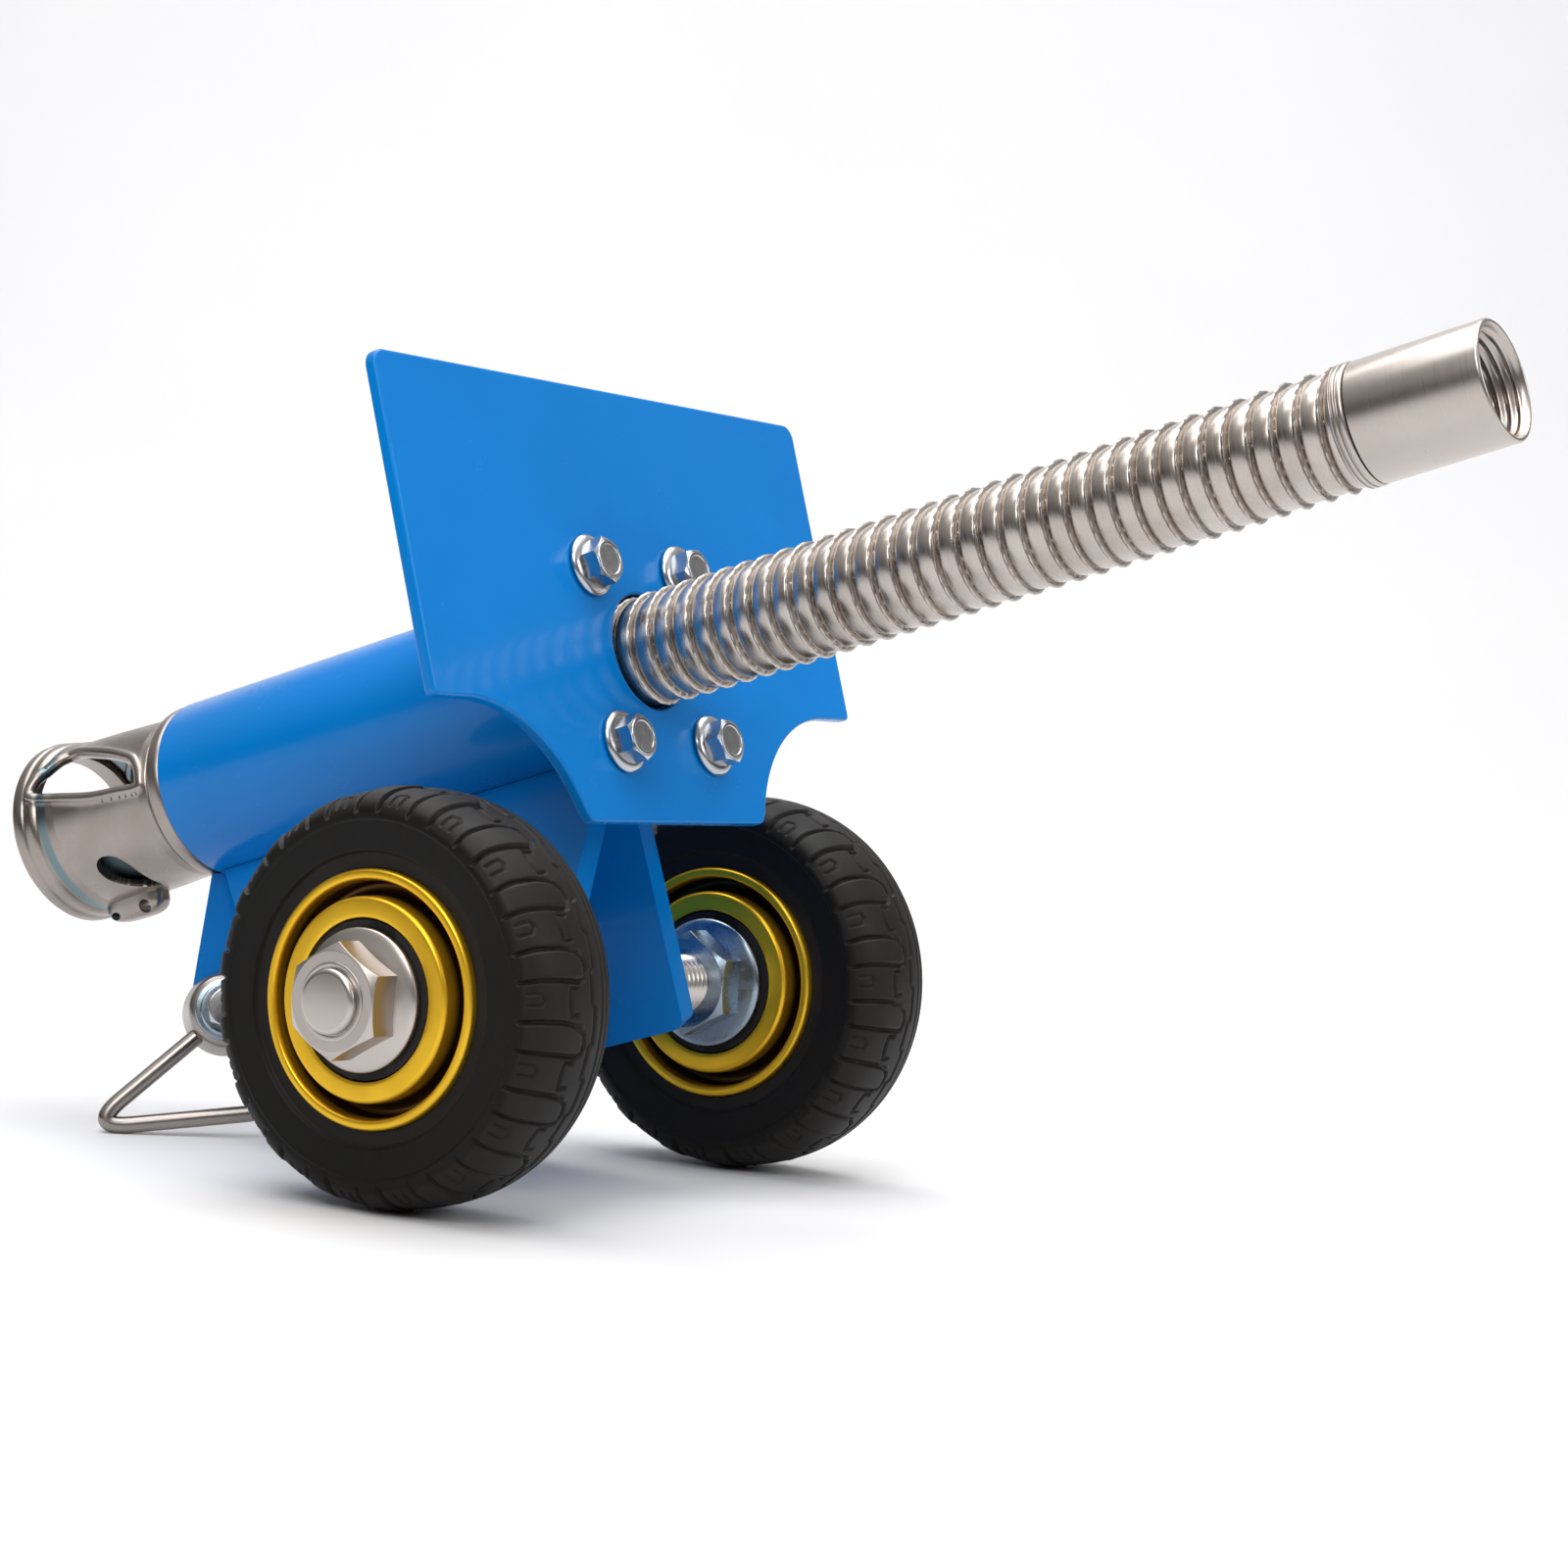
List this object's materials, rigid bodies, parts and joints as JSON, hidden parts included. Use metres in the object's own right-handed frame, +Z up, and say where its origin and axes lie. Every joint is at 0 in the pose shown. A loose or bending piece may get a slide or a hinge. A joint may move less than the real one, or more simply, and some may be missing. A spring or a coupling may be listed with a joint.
{
  "type": "drain snake machine",
  "caption": "Wheeled guide for a drain snake: corrugated guide hose with threaded muzzle, shield plate, housing tube with flared rear coupling, splayed legs, two wheels and a fold-up stand.",
  "frame": {"origin": "centre of the footprint's bounding box, on the ground", "axes": "+Z up, -Y towards the muzzle, +X to the right for someone in front of the machine who faces the rear"},
  "size_m": [0.2588, 0.5264, 0.275],
  "materials": {
    "blue_paint": "glossy bright blue paint",
    "tyre_rubber": "matte black rubber with a moulded tread",
    "gold_zinc": "satin yellow passivated zinc",
    "seal_rubber": "matte black seal",
    "bearing_steel": "ground bearing steel",
    "hose_steel": "bright rolled stainless steel",
    "ferrule_steel": "fine turned stainless steel",
    "cast_steel": "satin cast stainless steel",
    "stand_steel": "drawn stainless rod",
    "bolt_zinc": "bright zinc plate"
  },
  "bodies": {
    "carriage": {"shield_plate": "blue_paint", "tube_flange": "blue_paint", "housing_tube": "blue_paint", "shield_bolt_1": "bolt_zinc", "shield_bolt_2": "bolt_zinc", "shield_bolt_3": "bolt_zinc", "shield_bolt_4": "bolt_zinc", "guide_hose": "hose_steel", "hose_socket": "hose_steel", "liner_tube": "hose_steel", "muzzle_ferrule": "ferrule_steel", "crimp_ring": "hose_steel", "coupling_collar": "cast_steel", "circlip": "bolt_zinc", "stand_washer": "bolt_zinc", "stand_pivot_bolt": "bolt_zinc", "stand_pivot_nut": "bolt_zinc", "stand_bracket": "blue_paint", "left_leg": "blue_paint", "right_leg": "blue_paint", "left_stub_axle": "bolt_zinc", "left_outer_bearing_inner_race": "bearing_steel", "left_inner_bearing_inner_race": "bearing_steel", "left_bearing_spacer": "bolt_zinc", "left_outer_nut": "bolt_zinc", "left_inner_nut": "bolt_zinc", "right_stub_axle": "bolt_zinc", "right_outer_bearing_inner_race": "bearing_steel", "right_inner_bearing_inner_race": "bearing_steel", "right_bearing_spacer": "bolt_zinc", "right_outer_nut": "bolt_zinc", "right_inner_nut": "bolt_zinc"},
    "left_wheel": {"left_tyre": "tyre_rubber", "left_rim": "gold_zinc", "left_outer_bearing_outer_race": "bearing_steel", "left_outer_bearing_ball_cage": "bearing_steel", "left_outer_bearing_seal": "seal_rubber", "left_inner_bearing_outer_race": "bearing_steel", "left_inner_bearing_ball_cage": "bearing_steel", "left_inner_bearing_seal": "seal_rubber"},
    "right_wheel": {"right_tyre": "tyre_rubber", "right_rim": "gold_zinc", "right_outer_bearing_outer_race": "bearing_steel", "right_outer_bearing_ball_cage": "bearing_steel", "right_outer_bearing_seal": "seal_rubber", "right_inner_bearing_outer_race": "bearing_steel", "right_inner_bearing_ball_cage": "bearing_steel", "right_inner_bearing_seal": "seal_rubber"},
    "stand": {"stand_collar": "stand_steel", "stand_loop": "stand_steel"},
    "bell": {"coupling_bell": "cast_steel"}
  },
  "joints": [
    {"name": "left_wheel_spin", "type": "hinge", "parent": "carriage", "child": "left_wheel", "pos_m": [-0.09, 0.03049, 0.0625], "axis": [1, 0, 0], "continuous": true},
    {"name": "right_wheel_spin", "type": "hinge", "parent": "carriage", "child": "right_wheel", "pos_m": [0.09, 0.03049, 0.0625], "axis": [1, 0, 0], "continuous": true},
    {"name": "stand_fold", "type": "hinge", "parent": "carriage", "child": "stand", "pos_m": [-0.0169, 0.16547, 0.04083], "axis": [-0.7071, -0.6729, 0.2173], "range_deg": [0, 100]},
    {"name": "bell_turn", "type": "hinge", "parent": "carriage", "child": "bell", "pos_m": [0, 0.20731, 0.10823], "axis": [0, 0.9516, -0.3074], "range_deg": [0, 45]}
  ]
}
